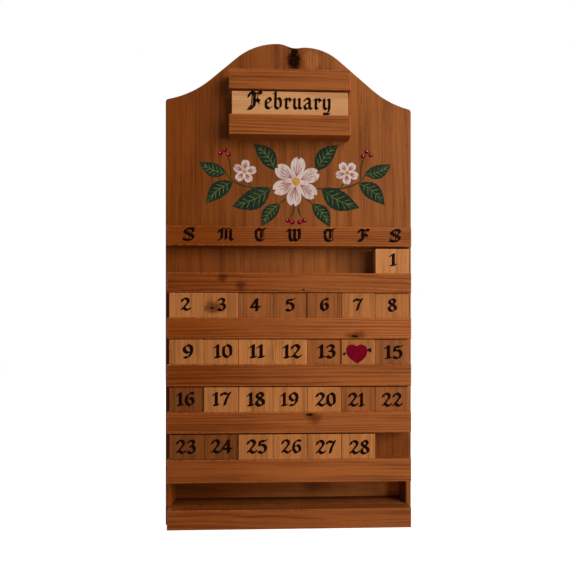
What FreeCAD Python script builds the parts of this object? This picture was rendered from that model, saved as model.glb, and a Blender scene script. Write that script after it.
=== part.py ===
"""Perpetual wall calendar of stained pine.

A backboard with an ogee top carries plain rails across its face. Loose date tiles and a month plate stand
on the rails, and a slot at the foot opens into a shallow box behind the board, for tiles not in use.

Frame: +X to the right, +Z up, the front faces -Y. The foot rests on Z = 0, and the origin is the middle
of the bounding box's bottom. All sizes are millimetres.
"""
import FreeCAD, Part
import math
import os
import Sketcher

DIMENSIONS = (
    ("board_width", 287.4, "backboard, side to side"),
    ("board_thickness", 19.0, "backboard, front to back"),
    ("crown_margin", 39.5, "month holder's top to the top of the board's left lobe"),
    ("right_lobe_drop", 3.6, "right lobe's top below the left one's"),
    ("shoulder_drop", 70.4, "left lobe's top down to the centre of the left shoulder's corner"),
    ("right_shoulder_drop", 7.5, "right shoulder below the left one"),
    ("shoulder_radius", 4.0, "rounding of both shoulders"),
    ("flare_radius", 108.0, "hollow curve between shoulder and flank"),
    ("flank_angle", 40.3, "fall of the straight flanks, in degrees"),
    ("crown_left_radius", 75.0, "rounding left of the left lobe"),
    ("crown_left_offset", 13.6, "left lobe's distance from the middle"),
    ("crown_right_radius", 61.0, "rounding right of the right lobe"),
    ("crown_right_offset", 18.4, "right lobe's distance from the middle"),
    ("lobe_radius", 25.0, "turn from each lobe down into the dip"),
    ("dip_radius", 25.0, "hollow of the dip between the lobes"),
    ("board_ease", 1.2, "rounding of the backboard's front edges"),
    ("rail_inset", 4.8, "board's side edge to the end of every full rail"),
    ("rail_depth", 19.0, "every rail, front to back"),
    ("rail_ease", 0.9, "rounding of the rails' front edges"),
    ("base_rail_height", 22.3, "front lip of the storage slot"),
    ("date_rail_1_height", 22.0, "rail under the first week"),
    ("date_rail_2_height", 23.7, "rail under the second week"),
    ("date_rail_3_height", 24.7, "rail under the third week"),
    ("date_rail_4_height", 23.8, "rail under the fourth week"),
    ("date_rail_5_height", 26.1, "rail under the fifth week"),
    ("weekday_rail_height", 21.8, "rail that carries the weekday initials"),
    ("storage_gap", 30.6, "base rail's top to the fifth date rail"),
    ("tile_height", 28.2, "date tile, foot to top"),
    ("tile_thickness", 15.0, "date tile, front to back"),
    ("tile_ease", 0.6, "rounding of a tile's front edges"),
    ("tile_row_inset", 2.4, "rail's end to the side of a full row of tiles"),
    ("tile_side_gap", 0.4, "between neighbouring tiles, which share the row's length"),
    ("row_1_clearance", 2.5, "above the first week's tiles"),
    ("row_2_clearance", 0.7, "above the second week's tiles"),
    ("row_3_clearance", 1.0, "above the third week's tiles"),
    ("row_4_clearance", 1.2, "above the fourth week's tiles"),
    ("row_5_clearance", 1.7, "above the fifth week's tiles"),
    ("proud_tile_recess", 1.0, "rail front to the face of a tile that stands forward"),
    ("pushed_tile_recess", 2.7, "rail front to the face of a tile that is pushed back"),
    ("picture_field_height", 104.5, "weekday rail's top to the lower month rail"),
    ("month_rail_length", 138.3, "month rails, side to side"),
    ("month_rail_lower_height", 22.8, "rail under the month plate"),
    ("month_rail_upper_height", 22.6, "rail over the month plate"),
    ("month_plate_inset", 3.0, "month rail's end to the month plate's side"),
    ("month_plate_height", 27.0, "month plate, foot to top"),
    ("month_plate_thickness", 15.0, "month plate, front to back"),
    ("month_plate_recess", 2.6, "rail front to the month plate's face"),
    ("month_clearance", 1.7, "above the month plate"),
    ("stile_width", 6.5, "wood left at each side of the storage slot"),
    ("slot_height", 32.7, "storage slot, floor to ceiling"),
    ("strip_thickness", 12.0, "strips behind the board, front to back"),
    ("ceiling_height", 14.0, "strip over the storage box"),
    ("panel_thickness", 4.0, "thin panel that closes the storage box"),
    ("spacer_width", 170.0, "strip behind the board's top, side to side"),
    ("spacer_height", 22.0, "strip behind the board's top, foot to top"),
    ("spacer_drop", 24.8, "left shoulder's centre down to the spacer's foot"),
    ("screw_length", 32.0, "wood screw, head to tip"),
    ("screw_diameter", 3.5, "wood screw's shank"),
    ("screw_head_diameter", 7.0, "countersunk head"),
    ("screw_inset", 30.0, "rail's end to its screws"),
    ("screw_hole_clearance", 0.15, "board's hole around the shank, on the radius"),
    ("snug_clearance", 0.05, "around whatever is driven into wood, on the radius"),
    ("pin_length", 13.0, "panel pin, head to tip"),
    ("pin_diameter", 1.4, "panel pin's shank"),
    ("pin_head_diameter", 3.0, "panel pin's flat head"),
    ("pin_head_height", 0.8, "panel pin's flat head"),
    ("pins_per_row", 4.0, "panel pins along the floor, and along the ceiling"),
    ("pin_row_inset", 24.0, "panel's side edge to the first pin of a row"),
    ("hanger_width", 46.0, "sawtooth hanger, side to side"),
    ("hanger_height", 9.0, "sawtooth hanger, foot to top"),
    ("hanger_thickness", 1.0, "sawtooth hanger's sheet"),
    ("hanger_rise", 1.4, "raised middle of the hanger, off the spacer"),
    ("hanger_tab", 9.0, "flat nailing tab at each end"),
    ("hanger_ramp", 2.0, "slope between tab and raised middle"),
    ("tooth_depth", 1.6, "sawtooth notches"),
    ("tooth_count", 9.0, "sawtooth notches"),
    ("nail_length", 10.0, "hanger nail, head to tip"),
    ("nail_diameter", 1.6, "hanger nail's shank"),
    ("nail_head_diameter", 3.8, "hanger nail's head"),
    ("nail_head_height", 0.6, "hanger nail's head"),
)

TILES_PER_ROW = 7
FIRST_COLUMN = 6
LAST_DATE = 28
PUSHED_BACK = (4, 5, 8, 13, 15, 16, 21, 22, 23, 24)

doc = FreeCAD.newDocument("wall_calendar")


def write_sheet():
    """One row for each driving dimension: its name, its value under that name, and what it measures."""
    table = doc.addObject("Spreadsheet::Sheet", "dims")
    for line, (name, value, meaning) in enumerate(DIMENSIONS, start=1):
        table.set(f"A{line}", name)
        table.set(f"B{line}", str(value))
        table.setAlias(f"B{line}", name)
        table.set(f"C{line}", meaning)
    doc.recompute()
    return table


sheet = write_sheet()


def size(name):
    """A driving dimension's value."""
    return float(sheet.get(name))


def value(expression):
    """An expression's value, from the sheet as it stands."""
    return float(sheet.evalExpression(expression))


# Widths that follow from the board's
RAIL_LENGTH = "(dims.board_width - 2 * dims.rail_inset)"
TILE_PITCH = f"(({RAIL_LENGTH} - 2 * dims.tile_row_inset) / {TILES_PER_ROW})"
SLOT_WIDTH = "(dims.board_width - 2 * dims.stile_width)"

# Heights that follow from the pieces stacked up the face
STACK = ["base_rail_height", "storage_gap", "date_rail_5_height"]
for week in (5, 4, 3, 2, 1):
    over = f"date_rail_{week - 1}_height" if week > 1 else "weekday_rail_height"
    STACK += ["tile_height", f"row_{week}_clearance", over]
STACK += ["picture_field_height", "month_rail_lower_height", "month_plate_height", "month_clearance",
          "month_rail_upper_height"]
CROWN_LEFT = "(" + " + ".join("dims." + part for part in STACK) + " + dims.crown_margin)"
SHOULDER_LEFT = f"({CROWN_LEFT} - dims.shoulder_drop)"
CROWNS = {"left": CROWN_LEFT, "right": f"({CROWN_LEFT} - dims.right_lobe_drop)"}
SHOULDERS = {"left": SHOULDER_LEFT, "right": f"({SHOULDER_LEFT} - dims.right_shoulder_drop)"}

# Depths, front to back
FRONT_Y = "-(dims.rail_depth + dims.board_thickness + dims.strip_thickness + dims.panel_thickness) / 2"
BOARD_Y = FRONT_Y + " + dims.rail_depth"
STRIP_Y = BOARD_Y + " + dims.board_thickness"
PANEL_Y = STRIP_Y + " + dims.strip_thickness"


def bind(thing, **expressions):
    """Bind properties to expressions. A double underscore in a keyword stands for a dot."""
    for key, expression in expressions.items():
        thing.setExpression(key.replace("__", "."), expression)


def edges_in_front(shape):
    """Names of the edges that lie in the shape's front face."""
    front = shape.BoundBox.YMin
    names = []
    for number, edge in enumerate(shape.Edges, start=1):
        if edge.BoundBox.YMax - front < 1e-6:
            names.append(f"Edge{number}")
    return names


def block(name, length, depth, height, x, y, z, ease=None):
    """A straight piece of wood, centred on x, with its front edges eased."""
    body = doc.addObject("PartDesign::Body", name + "_body")
    wood = body.newObject("PartDesign::AdditiveBox", name + "_wood")
    bind(wood, Length=length, Width=depth, Height=height)
    doc.recompute()
    if ease:
        eased = body.newObject("PartDesign::Fillet", name + "_eased")
        eased.Base = (wood, edges_in_front(wood.Shape))
        bind(eased, Radius=ease)
    bind(body, Placement__Base__x=f"{x} - ({length}) / 2", Placement__Base__y=y, Placement__Base__z=z)
    body.Label = name
    return body


def above(piece, height, gap="0"):
    """The level that lies a gap above a piece of the given height."""
    return f"{piece.Name}.Placement.Base.z / 1mm + {height} + {gap}"


# Rails across the face, from the foot up

def rail(name, level):
    """A full-length rail, whose height has the rail's own name in the sheet."""
    return block(name, RAIL_LENGTH, "dims.rail_depth", f"dims.{name}_height",
                 "0", FRONT_Y, level, "dims.rail_ease")


def make_rails():
    """The base rail, the five date rails and the weekday rail, each set over the one below."""
    rails = {"base_rail": rail("base_rail", "0")}
    rails["date_rail_5"] = rail("date_rail_5", above(rails["base_rail"], "dims.base_rail_height",
                                                     "dims.storage_gap"))
    below = rails["date_rail_5"]
    for row in (5, 4, 3, 2, 1):
        name = f"date_rail_{row - 1}" if row > 1 else "weekday_rail"
        gap = f"dims.tile_height + dims.row_{row}_clearance"
        rails[name] = rail(name, above(below, f"dims.date_rail_{row}_height", gap))
        below = rails[name]
    return rails


def make_month_holder(weekday_rail):
    """Two short rails over the picture field, and the plate that stands on the lower one."""
    lower = block("month_rail_lower", "dims.month_rail_length", "dims.rail_depth",
                  "dims.month_rail_lower_height", "0", FRONT_Y,
                  above(weekday_rail, "dims.weekday_rail_height", "dims.picture_field_height"),
                  "dims.rail_ease")
    seat = above(lower, "dims.month_rail_lower_height")
    upper = block("month_rail_upper", "dims.month_rail_length", "dims.rail_depth",
                  "dims.month_rail_upper_height", "0", FRONT_Y,
                  f"{seat} + dims.month_plate_height + dims.month_clearance", "dims.rail_ease")
    plate = block("month_plate", "dims.month_rail_length - 2 * dims.month_plate_inset",
                  "dims.month_plate_thickness",
                  "dims.month_plate_height", "0", f"{FRONT_Y} + dims.month_plate_recess", seat,
                  "dims.tile_ease")
    return {"month_rail_lower": lower, "month_rail_upper": upper}, {"month_plate": plate}


# Date tiles

def make_tiles(rails):
    """One tile for each date. The first stands in the last column, and the rest follow in reading order."""
    tiles = {}
    for date in range(1, LAST_DATE + 1):
        row, column = divmod(FIRST_COLUMN + date - 1, TILES_PER_ROW)
        recess = "dims.pushed_tile_recess" if date in PUSHED_BACK else "dims.proud_tile_recess"
        steps = column - (TILES_PER_ROW - 1) / 2
        under = f"date_rail_{row + 1}"
        name = f"date_tile_{date:02d}"
        tiles[name] = block(name, f"{TILE_PITCH} - dims.tile_side_gap", "dims.tile_thickness",
                            "dims.tile_height", f"{steps} * {TILE_PITCH}",
                            f"{FRONT_Y} + {recess}",
                            above(rails[under], f"dims.{under}_height"), "dims.tile_ease")
    return tiles


# Backboard

def half_of_top(side):
    """The outline from the foot up to one lobe's top, as if on the right, and the arcs' centres.

    The vertical edge turns over a small shoulder into the hollow flare. The flare runs into a straight
    flank, and the flank into the crown's arc, which ends at the top of its lobe. Every join is tangent, so
    each centre follows from its neighbours'.
    """
    half = size("board_width") / 2
    corner, flare, crown_radius = size("shoulder_radius"), size("flare_radius"), size(f"crown_{side}_radius")
    fall = math.radians(size("flank_angle"))
    normal = FreeCAD.Vector(math.sin(fall), math.cos(fall), 0)
    down = FreeCAD.Vector(math.cos(fall), -math.sin(fall), 0)
    crown = FreeCAD.Vector(size(f"crown_{side}_offset"), value(CROWNS[side]) - crown_radius, 0)
    shoulder = FreeCAD.Vector(half - corner, value(SHOULDERS[side]), 0)
    flank_top = crown + normal * crown_radius
    # The flare's centre lies on a line beside the flank, both radii away from the shoulder's centre
    start = flank_top + normal * flare - shoulder
    along = start.dot(down)
    slide = -along - math.sqrt(along ** 2 - start.dot(start) + (flare + corner) ** 2)
    hollow = shoulder + start + down * slide
    flank_foot = hollow - normal * flare
    join = shoulder + (hollow - shoulder) * (corner / (corner + flare))
    side_top = FreeCAD.Vector(half, shoulder.y, 0)
    return [
        ("side", None, FreeCAD.Vector(half, 0, 0), side_top),
        ("shoulder", shoulder, side_top, join),
        ("flare", hollow, join, flank_foot),
        ("flank", None, flank_foot, flank_top),
        ("crown", crown, flank_top, crown + FreeCAD.Vector(0, crown_radius, 0)),
    ]


def mirrored(point):
    """The same point on the other side of the middle."""
    return None if point is None else FreeCAD.Vector(-point.x, point.y, 0)


def outline():
    """The board's edge from the left foot round to it again: each piece's role, centre, begin and end."""
    half = size("board_width") / 2
    lobe_radius, dip_radius = size("lobe_radius"), size("dip_radius")
    right = [("right_" + role, *points) for role, *points in half_of_top("right")]
    left = [("left_" + role, mirrored(centre), mirrored(end), mirrored(begin))
            for role, centre, begin, end in reversed(half_of_top("left"))]
    right_top, left_top = right[-1][3], left[0][2]
    lobe_drop = FreeCAD.Vector(0, lobe_radius, 0)
    right_lobe, left_lobe = right_top - lobe_drop, left_top - lobe_drop
    run = right_lobe - left_lobe
    rise = math.sqrt((lobe_radius + dip_radius) ** 2 - run.dot(run) / 4)
    dip = (left_lobe + right_lobe) * 0.5 + FreeCAD.Vector(-run.y, run.x, 0) * (rise / run.Length)
    share = lobe_radius / (lobe_radius + dip_radius)
    right_meet = right_lobe + (dip - right_lobe) * share
    left_meet = left_lobe + (dip - left_lobe) * share
    middle = [
        ("right_lobe", right_lobe, right_top, right_meet),
        ("dip", dip, right_meet, left_meet),
        ("left_lobe", left_lobe, left_meet, left_top),
    ]
    foot = [("foot", None, FreeCAD.Vector(-half, 0, 0), FreeCAD.Vector(half, 0, 0))]
    return foot + right + middle + left


def curve_between(centre, begin, end):
    """A line, or the shorter arc about a centre, from one point to the other."""
    if centre is None:
        return Part.LineSegment(begin, end)
    first = math.atan2(begin.y - centre.y, begin.x - centre.x)
    last = math.atan2(end.y - centre.y, end.x - centre.x)
    if (last - first) % (2 * math.pi) > math.pi:
        first, last = last, first
    circle = Part.Circle(centre, FreeCAD.Vector(0, 0, 1), (begin - centre).Length)
    return Part.ArcOfCircle(circle, first, last)


def end_near(sketch, index, point):
    """1 for a piece's start or 2 for its end, whichever lies at the point."""
    return 1 if (sketch.getPoint(index, 1) - point).Length < 1e-3 else 2


def measured(sketch, name, expression, kind, *where):
    """Add a dimension under a name and bind it to the sheet."""
    amount = value(expression)
    if kind == "Angle":
        amount = math.radians(amount)
    number = sketch.addConstraint(Sketcher.Constraint(kind, *where, amount))
    sketch.renameConstraint(number, name)
    sketch.setExpression("Constraints." + name, expression)


def draw_outline(sketch):
    """The board's closed outline, every join held tangent and every size bound to the sheet."""
    pieces = outline()
    index = {}
    for role, centre, begin, end in pieces:
        index[role] = sketch.addGeometry(curve_between(centre, begin, end), False)
    for (role, _, _, end), (following, _, _, _) in zip(pieces, pieces[1:] + pieces[:1]):
        join = "Coincident" if "foot" in (role, following) else "Tangent"
        first, second = index[role], index[following]
        sketch.addConstraint(Sketcher.Constraint(join, first, end_near(sketch, first, end),
                                                 second, end_near(sketch, second, end)))
    sketch.addConstraint(Sketcher.Constraint("Horizontal", index["foot"]))
    sketch.addConstraint(Sketcher.Constraint("PointOnObject", index["foot"], 1, -1))
    for side, turn in (("right", 180), ("left", -180)):
        edge, crown, lobe = index[side + "_side"], index[side + "_crown"], index[side + "_lobe"]
        origin, foot, centre = (-1, 1), (index["foot"], 2 if side == "right" else 1), (crown, 3)
        across = (origin, foot) if side == "right" else (foot, origin)
        inward = (origin, centre) if side == "right" else (centre, origin)
        heading = f"{turn} - dims.flank_angle" if side == "right" else f"{turn} + dims.flank_angle"
        sketch.addConstraint(Sketcher.Constraint("Vertical", edge))
        sketch.addConstraint(Sketcher.Constraint("Vertical", *centre, lobe, 3))
        measured(sketch, side + "_half_width", "dims.board_width / 2", "DistanceX", *across[0], *across[1])
        measured(sketch, side + "_crown_offset", f"dims.crown_{side}_offset",
                 "DistanceX", *inward[0], *inward[1])
        measured(sketch, side + "_crown_centre", f"{CROWNS[side]} - dims.crown_{side}_radius",
                 "DistanceY", *origin, *centre)
        measured(sketch, side + "_shoulder_centre", SHOULDERS[side],
                 "DistanceY", *origin, index[side + "_shoulder"], 3)
        measured(sketch, side + "_flank_angle", heading, "Angle", index[side + "_flank"])
        measured(sketch, side + "_shoulder_radius", "dims.shoulder_radius",
                 "Radius", index[side + "_shoulder"])
        measured(sketch, side + "_flare_radius", "dims.flare_radius", "Radius", index[side + "_flare"])
        measured(sketch, side + "_crown_radius", f"dims.crown_{side}_radius", "Radius", crown)
        measured(sketch, side + "_lobe_radius", "dims.lobe_radius", "Radius", lobe)
    measured(sketch, "dip_radius", "dims.dip_radius", "Radius", index["dip"])


def draw_slot(sketch):
    """The storage slot's rectangle, with its floor level with the base rail's top."""
    half, low = value(SLOT_WIDTH) / 2, size("base_rail_height")
    high = low + size("slot_height")
    corners = [FreeCAD.Vector(x, y, 0) for x, y in ((-half, low), (half, low), (half, high), (-half, high))]
    lines = []
    for begin, end in zip(corners, corners[1:] + corners[:1]):
        lines.append(sketch.addGeometry(curve_between(None, begin, end), False))
    for line, following in zip(lines, lines[1:] + lines[:1]):
        sketch.addConstraint(Sketcher.Constraint("Coincident", line, 2, following, 1))
    for line, direction in zip(lines, ("Horizontal", "Vertical", "Horizontal", "Vertical")):
        sketch.addConstraint(Sketcher.Constraint(direction, line))
    measured(sketch, "slot_left", SLOT_WIDTH + " / 2", "DistanceX", lines[0], 1, -1, 1)
    measured(sketch, "slot_right", SLOT_WIDTH + " / 2", "DistanceX", -1, 1, lines[0], 2)
    measured(sketch, "slot_floor", "dims.base_rail_height", "DistanceY", -1, 1, lines[0], 1)
    measured(sketch, "slot_height", "dims.slot_height", "DistanceY", lines[1], 1, lines[1], 2)


def make_backboard():
    """The board, drawn from the front, with its front edges eased."""
    body = doc.addObject("PartDesign::Body", "backboard_body")
    upright = [plane for plane in body.Origin.OriginFeatures if plane.Role == "XZ_Plane"][0]
    sketch = body.newObject("Sketcher::SketchObject", "backboard_outline")
    sketch.AttachmentSupport = (upright, [""])
    sketch.MapMode = "FlatFace"
    draw_outline(sketch)
    draw_slot(sketch)
    pad = body.newObject("PartDesign::Pad", "backboard_wood")
    pad.Profile = sketch
    pad.Reversed = True
    bind(pad, Length="dims.board_thickness")
    doc.recompute()
    eased = body.newObject("PartDesign::Fillet", "backboard_eased")
    eased.Base = (pad, edges_in_front(pad.Shape))
    bind(eased, Radius="dims.board_ease")
    bind(body, Placement__Base__y=BOARD_Y)
    body.Label = "backboard"
    return body


# Storage box behind the slot, and the spacer at the top

def make_box():
    """Floor, ceiling, two ends and the thin panel that closes the box."""
    floor = block("storage_floor", "dims.board_width", "dims.strip_thickness", "dims.base_rail_height",
                  "0", STRIP_Y, "0")
    ceiling = block("storage_ceiling", "dims.board_width", "dims.strip_thickness", "dims.ceiling_height",
                    "0", STRIP_Y, above(floor, "dims.base_rail_height", "dims.slot_height"))
    pieces = {"storage_floor": floor, "storage_ceiling": ceiling}
    for name, sign in (("storage_end_left", "-1"), ("storage_end_right", "1")):
        pieces[name] = block(name, "dims.stile_width", "dims.strip_thickness", "dims.slot_height",
                             f"{sign} * (dims.board_width - dims.stile_width) / 2", STRIP_Y,
                             above(floor, "dims.base_rail_height"))
    pieces["back_panel"] = block("back_panel", "dims.board_width", "dims.panel_thickness",
                                 "dims.base_rail_height + dims.slot_height + dims.ceiling_height",
                                 "0", PANEL_Y, "0")
    return pieces


def make_spacer():
    """The strip that keeps the hung board's top as far from the wall as its foot."""
    return block("top_spacer", "dims.spacer_width", "dims.strip_thickness", "dims.spacer_height",
                 "0", STRIP_Y, SHOULDER_LEFT + " - dims.spacer_drop", "dims.rail_ease")


# Fasteners

def round_bar(radius, end_radius, top, length):
    """A straight or tapered round bar that runs forward from its top."""
    if abs(radius - end_radius) < 1e-9:
        return Part.makeCylinder(radius, length, top, FreeCAD.Vector(0, -1, 0))
    return Part.makeCone(radius, end_radius, length, top, FreeCAD.Vector(0, -1, 0))


def wood_screw(top, growth=0.0):
    """A countersunk screw whose head lies flush at its top, or the space it needs when grown."""
    shank = size("screw_diameter") / 2 + growth
    head = size("screw_head_diameter") / 2 + growth
    taper = head - shank
    point = size("screw_diameter")
    straight = size("screw_length") + growth - point
    solid = round_bar(head, shank, top, taper)
    solid = solid.fuse(round_bar(shank, shank, top, straight))
    tip = FreeCAD.Vector(top.x, top.y - straight, top.z)
    return solid.fuse(round_bar(shank, shank / 4, tip, point)).removeSplitter()


def screw_hole(top):
    """The space for a screw: free in the board, snug in the rail."""
    free = size("screw_diameter") / 2 + size("screw_hole_clearance")
    passage = round_bar(free, free, top, size("board_thickness"))
    return wood_screw(top, size("snug_clearance")).fuse(passage)


def flat_nail(top, prefix, growth=0.0):
    """A nail whose flat head ends at its top, or the space it needs when grown."""
    shank = size(prefix + "_diameter") / 2 + growth
    head = size(prefix + "_head_diameter") / 2 + growth
    solid = round_bar(head, head, top, size(prefix + "_head_height"))
    straight = size(prefix + "_length") + growth - 2 * shank
    solid = solid.fuse(round_bar(shank, shank, top, straight))
    tip = FreeCAD.Vector(top.x, top.y - straight, top.z)
    return solid.fuse(round_bar(shank, shank / 4, tip, 2 * shank)).removeSplitter()


def group(name, solids):
    """Separate solids kept together as one node."""
    together = doc.addObject("Part::Feature", name)
    together.Shape = Part.makeCompound(solids)
    together.Placement = FreeCAD.Placement()
    together.Label = name
    return together


def drilled(name, body, holes):
    """A piece with its holes taken out, under the piece's own name."""
    near = [hole for hole in holes if hole.BoundBox.intersect(body.Shape.BoundBox)]
    if not near:
        return body
    space = doc.addObject("Part::Feature", name + "_holes")
    space.Shape = Part.makeCompound(near)
    cut = doc.addObject("Part::Cut", name + "_drilled")
    cut.Base = body
    cut.Tool = space
    body.Label = name + "_undrilled"
    cut.Label = name
    return cut


def screw_places(rails):
    """Two places in each rail, level with its middle, on the board's back face."""
    places = []
    for body in rails.values():
        box = body.Shape.BoundBox
        level = (box.ZMin + box.ZMax) / 2
        back = box.YMax + size("board_thickness")
        for x in (box.XMin + size("screw_inset"), box.XMax - size("screw_inset")):
            places.append(FreeCAD.Vector(x, back, level))
    return places


def pin_places(box_pieces):
    """A row of pins into the floor and into the ceiling, and one pin into each end, on the panel's back."""
    back = box_pieces["back_panel"].Shape.BoundBox.YMax
    first = size("board_width") / 2 - size("pin_row_inset")
    count = int(size("pins_per_row"))
    places = []
    for name in ("storage_floor", "storage_ceiling"):
        box = box_pieces[name].Shape.BoundBox
        for number in range(count):
            x = first * (2 * number / (count - 1) - 1)
            places.append(FreeCAD.Vector(x, back, (box.ZMin + box.ZMax) / 2))
    for name in ("storage_end_left", "storage_end_right"):
        box = box_pieces[name].Shape.BoundBox
        places.append(FreeCAD.Vector((box.XMin + box.XMax) / 2, back, (box.ZMin + box.ZMax) / 2))
    return places


def nail_places(spacer):
    """Two places on the hanger's tabs, at the nail heads' outer faces."""
    box = spacer.Shape.BoundBox
    reach = (size("hanger_width") - size("hanger_tab")) / 2
    outer = box.YMax + size("hanger_thickness") + size("nail_head_height")
    level = (box.ZMin + box.ZMax) / 2
    return [FreeCAD.Vector(-reach, outer, level), FreeCAD.Vector(reach, outer, level)]


def hanger_plate(spacer):
    """A strip of sheet, flat at its ends and raised in the middle, with a row of teeth along its foot."""
    box = spacer.Shape.BoundBox
    level, seat = (box.ZMin + box.ZMax) / 2, box.YMax
    half, tall = size("hanger_width") / 2, size("hanger_height")
    sheet_thickness, rise = size("hanger_thickness"), size("hanger_rise")
    tab_end = half - size("hanger_tab")
    ramp_end = tab_end - size("hanger_ramp")
    low, high = level - tall / 2, level + tall / 2
    inner = [(-half, seat), (-tab_end, seat), (-ramp_end, seat + rise),
             (ramp_end, seat + rise), (tab_end, seat), (half, seat)]
    outer = [(x, y + sheet_thickness) for x, y in reversed(inner)]
    section = [FreeCAD.Vector(x, y, low) for x, y in inner + outer]
    strip = Part.Face(Part.makePolygon(section + section[:1])).extrude(FreeCAD.Vector(0, 0, tall))
    count = int(size("tooth_count"))
    pitch = 2 * ramp_end / count
    front = [(-half, high), (-half, low), (-ramp_end, low)]
    for number in range(count):
        start = -ramp_end + number * pitch
        front.append((start + pitch / 2, low + size("tooth_depth")))
        front.append((start + pitch, low))
    front += [(half, low), (half, high)]
    face = [FreeCAD.Vector(x, seat, z) for x, z in front]
    depth = rise + sheet_thickness
    toothed = Part.Face(Part.makePolygon(face + face[:1])).extrude(FreeCAD.Vector(0, depth, 0))
    return strip.common(toothed)


def check(nodes):
    """Stop if any object failed or any piece isn't a sound shape."""
    for thing in doc.Objects:
        if "Invalid" in thing.State or "Error" in thing.State:
            raise RuntimeError(f"{thing.Name} failed: {thing.State}")
    for name, piece in nodes.items():
        if piece.Shape.isNull() or not piece.Shape.isValid():
            raise RuntimeError(f"{name} has no sound shape")


def main():
    rails = make_rails()
    month_rails, nodes = make_month_holder(rails["weekday_rail"])
    nodes.update(make_tiles(rails))
    rails.update(month_rails)
    backboard = make_backboard()
    box_pieces = make_box()
    spacer = make_spacer()
    doc.recompute()

    screws = screw_places(rails)
    screw_holes = [screw_hole(place) for place in screws]
    nodes["backboard"] = drilled("backboard", backboard, screw_holes)
    for name, body in rails.items():
        nodes[name] = drilled(name, body, screw_holes)
    nodes["rail_screws"] = group("rail_screws", [wood_screw(place) for place in screws])

    snug = size("snug_clearance")
    pins = pin_places(box_pieces)
    pin_holes = [flat_nail(place, "pin", snug) for place in pins]
    for name, body in box_pieces.items():
        nodes[name] = drilled(name, body, pin_holes)
    nodes["panel_pins"] = group("panel_pins", [flat_nail(place, "pin") for place in pins])

    nails = nail_places(spacer)
    nail_holes = [flat_nail(place, "nail", snug) for place in nails]
    plate = doc.addObject("Part::Feature", "sawtooth_hanger_body")
    plate.Shape = hanger_plate(spacer)
    nodes["top_spacer"] = drilled("top_spacer", spacer, nail_holes)
    nodes["sawtooth_hanger"] = drilled("sawtooth_hanger", plate, nail_holes)
    nodes["hanger_nails"] = group("hanger_nails", [flat_nail(place, "nail") for place in nails])

    doc.recompute()
    check(nodes)
    os.makedirs("parts", exist_ok=True)
    for name, piece in nodes.items():
        piece.Shape.exportStep(f"parts/{name}.step")
        print(name, len(piece.Shape.Solids), "solids", round(piece.Shape.Volume, 1), "mm3")


main()
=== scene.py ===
"""Looks of the perpetual wall calendar: stained pine, painted figures and a painted spray of leaves.

Metres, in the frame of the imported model: +X to the right, +Z up, the front faces -Y.
"""
import math

import bpy
import numpy as np
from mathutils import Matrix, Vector


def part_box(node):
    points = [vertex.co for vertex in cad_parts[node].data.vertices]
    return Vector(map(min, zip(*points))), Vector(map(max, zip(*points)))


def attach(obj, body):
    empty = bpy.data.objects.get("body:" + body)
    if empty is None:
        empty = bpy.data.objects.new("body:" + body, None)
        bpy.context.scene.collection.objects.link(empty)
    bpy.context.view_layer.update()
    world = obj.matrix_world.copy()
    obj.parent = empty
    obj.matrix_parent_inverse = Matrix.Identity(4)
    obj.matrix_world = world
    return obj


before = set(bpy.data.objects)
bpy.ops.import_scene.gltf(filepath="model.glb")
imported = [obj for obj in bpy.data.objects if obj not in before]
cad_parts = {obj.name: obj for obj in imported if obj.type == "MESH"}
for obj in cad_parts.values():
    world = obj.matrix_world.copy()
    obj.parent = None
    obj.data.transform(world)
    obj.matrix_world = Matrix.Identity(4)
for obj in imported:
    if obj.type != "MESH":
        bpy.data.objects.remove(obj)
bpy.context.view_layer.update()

scene = bpy.context.scene
rng = np.random.default_rng(28)
MM = 0.001


# Colours

def stain(red, green, blue):
    """A colour written as it shows on a screen, 0 to 255, turned into light's own scale."""
    shown = np.array([red, green, blue]) / 255
    linear = np.where(shown < 0.04045, shown / 12.92, ((shown + 0.055) / 1.055) ** 2.4)
    return (*map(float, linear), 1.0)


def deepened(colour, share):
    """The colour with its light cut to a share, a little more in the blue than in the red."""
    red, green, blue, _ = colour
    return (red * share, green * share ** 1.15, blue * share ** 1.35, 1.0)


# Node trees

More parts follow.
